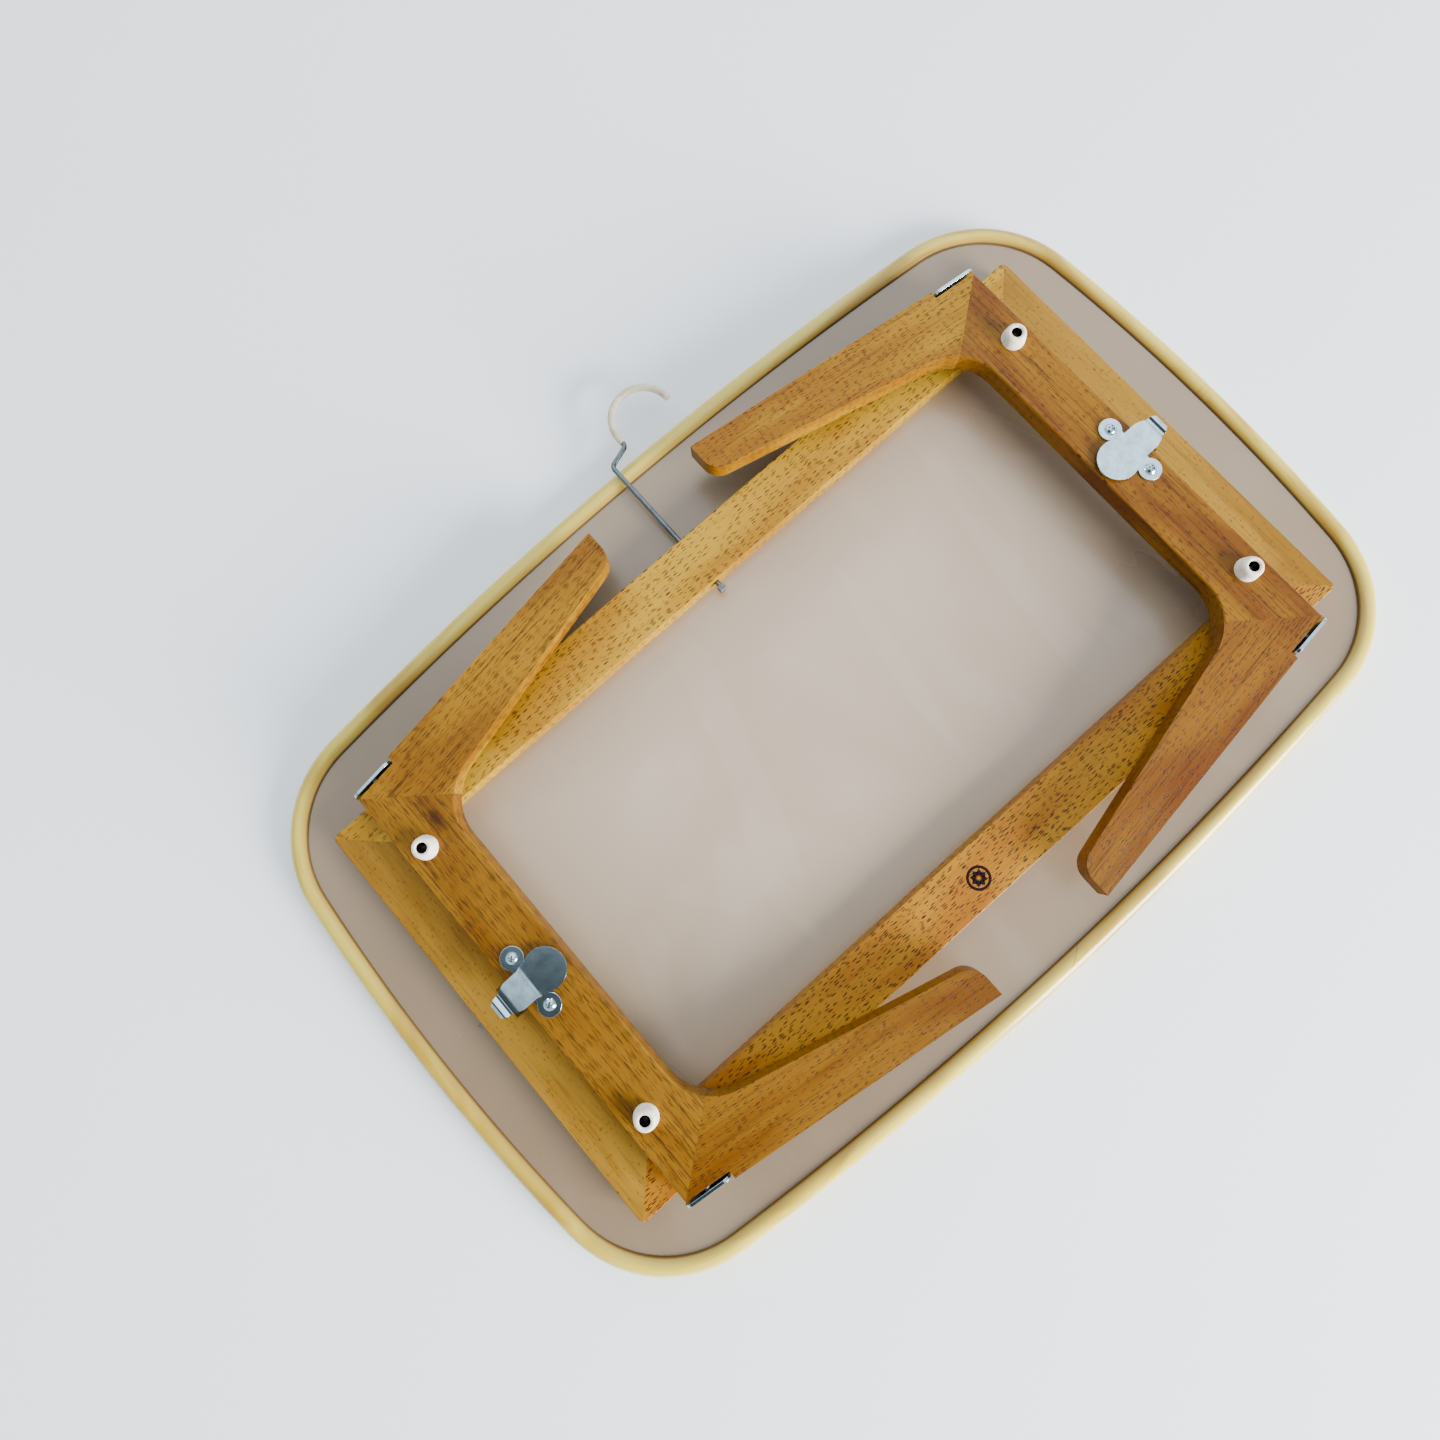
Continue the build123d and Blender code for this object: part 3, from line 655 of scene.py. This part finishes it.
def build_lever(side_name, side, material):
    """A latch lever bent from one sheet: rows of points across it, given the sheet's thickness."""
    node = f"latch_lever_{side_name}"
    low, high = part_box(node)
    total = high.x - low.x
    disc_r = (high.y - low.y) / 2
    lengths = [disc_r * (1 - math.cos(math.radians(a))) for a in range(6, 90, 7)]
    lengths += [disc_r + (total - disc_r) * i / 52 for i in range(53)]
    across = 14
    bm = bmesh.new()
    rows = []
    for t in lengths:
        half = lever_half_width(t, disc_r, total)
        x = side * (min(abs(low.x), abs(high.x)) + t)
        z = low.z + LEVER_SHEET + lever_height(t, total)
        rows.append([bm.verts.new((x, half * (2 * k / across - 1), z)) for k in range(across + 1)])
    for a, b in zip(rows, rows[1:]):
        for k in range(across):
            bm.faces.new((a[k], a[k + 1], b[k + 1], b[k]))
    bmesh.ops.recalc_face_normals(bm, faces=bm.faces)
    if sum(f.normal.z for f in bm.faces) < 0:
        bmesh.ops.reverse_faces(bm, faces=bm.faces)
    bmesh.ops.solidify(bm, geom=bm.faces, thickness=LEVER_SHEET)
    bmesh.ops.recalc_face_normals(bm, faces=bm.faces)
    round_edges(bm, LEVER_EDGE, angle=50)
    mesh = finish_mesh(bpy.data.meshes.new(node), bm, 40)
    new_piece(f"{node}_pressed", mesh, material, f"{side_name}_latch", "zinc_plate", node)


def build_fittings():
    # dark is the screws' own oxidised steel, and in the feet's hollows it stands for painted shade.
    ivory, dark = rubber(), oxidised_steel_and_hollow_shade()
    for side_name, side in SIDES.items():
        frame_body = f"{side_name}_leg_frame"
        softened(f"latch_base_{side_name}", frame_body, ZINC, "zinc_plate", BASE_EDGE)
        build_lever(side_name, side, ZINC)
        dress(f"rail_pin_{side_name}", ZINC_DULL)
        for end_name in ENDS:
            corner = f"{side_name}_{end_name}"
            softened(f"pivot_bracket_{corner}", "tray", ZINC, "zinc_plate", BRACKET_EDGE)
            dress(f"pivot_rivet_{corner}", ZINC)
            for place in ("in", "out"):
                dress(f"bracket_screw_{place}_{corner}", ZINC_DULL)
            cross_recess(f"latch_screw_{corner}", frame_body, ZINC)
            build_foot(f"rubber_foot_{corner}", frame_body, ivory, dark)
            dress(f"foot_screw_{corner}", dark)


def build_hook():
    softened("hook_stop", "hook_slider", ZINC_DULL, "zinc_wire", STOP_EDGE)
    tubes = (("hook_wire", ZINC_WIRE, "zinc_wire"), ("hook_sleeve", sleeve_plastic(), "cream_tube"))
    for node, material, slot in tubes:
        mesh, bm = welded(node)
        finish_mesh(mesh, bm)
        new_piece(f"{node}_round", mesh, material, "hook", slot, node)


MARK_X, MARK_OFF_CENTRE, MARK_LIFT = -3 * MM, -1 * MM, 0.03 * MM
RING_INNER, RING_OUTER = 5.2 * MM, 6.7 * MM
PETALS, PETAL_INNER, PETAL_OUTER, PETAL_HALF = 8, 0.8 * MM, 4.8 * MM, 1.6 * MM


def build_mark():
    """A small generic round mark on the front rail: a ring round a plain rosette."""
    low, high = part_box("long_rail_front")
    centre = Vector((MARK_X, (low.y + high.y) / 2 + MARK_OFF_CENTRE, high.z + MARK_LIFT))
    bm = bmesh.new()

    def ring(inner, outer, steps=64):
        loops = []
        for radius in (inner, outer):
            loops.append([bm.verts.new(centre + Vector((radius * math.cos(a), radius * math.sin(a), 0)))
                          for a in (2 * math.pi * i / steps for i in range(steps))])
        for i in range(steps):
            j = (i + 1) % steps
            bm.faces.new((loops[0][i], loops[1][i], loops[1][j], loops[0][j]))

    def petal(angle, inner, outer, half):
        along = Vector((math.cos(angle), math.sin(angle), 0))
        across = Vector((-along.y, along.x, 0))
        middle = (inner + outer) / 2
        corners = [(inner, 0), (middle, half), (outer, 0), (middle, -half)]
        bm.faces.new([bm.verts.new(centre + along * a - across * b) for a, b in corners])

    ring(RING_INNER, RING_OUTER)
    for i in range(PETALS):
        petal(2 * math.pi * i / PETALS, PETAL_INNER, PETAL_OUTER, PETAL_HALF)
    bmesh.ops.recalc_face_normals(bm, faces=bm.faces)
    if sum(f.normal.z for f in bm.faces) < 0:
        bmesh.ops.reverse_faces(bm, faces=bm.faces)
    mesh = bpy.data.meshes.new("rail_mark")
    bm.to_mesh(mesh)
    bm.free()
    new_piece("rail_mark", mesh, stamp_ink(), "tray", "beech")


# ---------------------------------------------------------------- stage

CAMERA_PLACE = Vector((-73.95, -6.52, 440.67)) * MM
CAMERA_TURN = (6.685, 1.545, -41.388)
LENS, SENSOR = 19.544, 36.0
FLOOR_SIZE = 30
BRIGHT_SIDE, UNLIT_SIDE = (0.45, 0.5, 0.74), (-0.55, -0.2, 0.81)
SKY_COLOUR = (0.86, 0.93, 1.0, 1.0)
WINDOW_PLACE, WINDOW_SIZE, WINDOW_POWER, WINDOW_COLOUR = (0.9, -2.7, 0.85), 1.6, 450, (1.0, 0.98, 0.95)


def build_stage():
    floor_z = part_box("rim_pole")[0].z
    bpy.ops.mesh.primitive_plane_add(size=FLOOR_SIZE, location=(0, 0, floor_z))
    floor = bpy.context.object
    floor.name = "floor"
    floor.data.materials.append(floor_paint())

    camera = bpy.data.objects.new("camera", bpy.data.cameras.new("camera"))
    bpy.context.scene.collection.objects.link(camera)
    camera.location = CAMERA_PLACE
    camera.rotation_euler = [math.radians(a) for a in CAMERA_TURN]
    camera.data.lens, camera.data.sensor_width, camera.data.clip_start = LENS, SENSOR, 0.01
    bpy.context.scene.camera = camera


def area_light(name, place, target, size, power, colour):
    light = bpy.data.objects.new(name, bpy.data.lights.new(name, "AREA"))
    bpy.context.scene.collection.objects.link(light)
    light.location = place
    light.rotation_euler = (Vector(target) - Vector(place)).to_track_quat("-Z", "Y").to_euler()
    light.data.size, light.data.energy, light.data.color = size, power, colour


def sky_patch(tree, direction, edge, core, outside, inside):
    """Brightness that goes softly from outside to inside round one direction of the sky."""
    towards = tree.nodes.new("ShaderNodeTexCoord").outputs["Generated"]
    facing = tree.nodes.new("ShaderNodeVectorMath")
    facing.operation = "DOT_PRODUCT"
    facing.inputs[1].default_value = Vector(direction).normalized()
    spread = tree.nodes.new("ShaderNodeMapRange")
    spread.interpolation_type = "SMOOTHSTEP"
    for socket, value in (("From Min", edge), ("From Max", core), ("To Min", outside), ("To Max", inside)):
        spread.inputs[socket].default_value = value
    tree.links.new(towards, facing.inputs[0])
    tree.links.new(facing.outputs["Value"], spread.inputs["Value"])
    return spread.outputs["Result"]


def build_light():
    """A cool sky with one brighter side and one small unlit patch, and a large low window."""
    world = bpy.data.worlds.new("studio")
    bpy.context.scene.world = world
    world.use_nodes = True
    tree = world.node_tree
    background = tree.nodes["Background"]
    sky = tree.nodes.new("ShaderNodeMath")
    sky.operation = "MULTIPLY"
    tree.links.new(sky_patch(tree, BRIGHT_SIDE, 0.5, 0.95, 1.0, 2.7), sky.inputs[0])
    tree.links.new(sky_patch(tree, UNLIT_SIDE, 0.885, 0.93, 1.0, 0.09), sky.inputs[1])
    tree.links.new(sky.outputs[0], background.inputs["Strength"])
    background.inputs["Color"].default_value = SKY_COLOUR
    area_light("window", WINDOW_PLACE, (0, 0, 0), WINDOW_SIZE, WINDOW_POWER, WINDOW_COLOUR)


build_wood()
dress("tray_panel", laminate(*FRAME_INSIDE))
build_rim()
build_fittings()
build_hook()
build_mark()
build_stage()
build_light()
